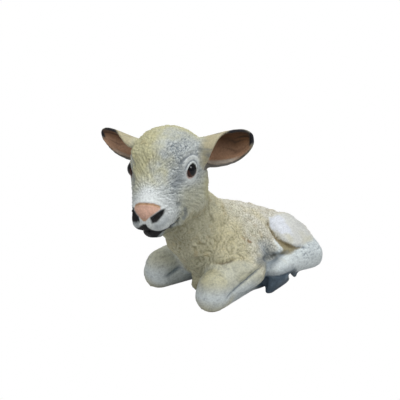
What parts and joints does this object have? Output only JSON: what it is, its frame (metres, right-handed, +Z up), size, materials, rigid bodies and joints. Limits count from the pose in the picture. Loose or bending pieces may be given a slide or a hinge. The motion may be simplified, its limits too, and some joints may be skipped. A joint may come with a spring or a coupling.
{
  "type": "sheep garden statue",
  "caption": "Lying lamb cast in resin and painted by hand: legs folded under, head raised and turned to its left, ears out, flat underside to stand on.",
  "frame": {"origin": "on the ground below the middle of the statue's bounding box", "axes": "+Y from the lamb's chest back to its rump, +X to the lamb's left, +Z up"},
  "size_m": [0.2126, 0.343, 0.2637],
  "materials": {
    "painted_resin": "matte hand-painted cast resin: cream and ochre wool, white and blue-grey legs and face, gloss-varnished eyes"
  },
  "bodies": {
    "root": {"lamb_statue": "painted_resin"}
  },
  "joints": []
}
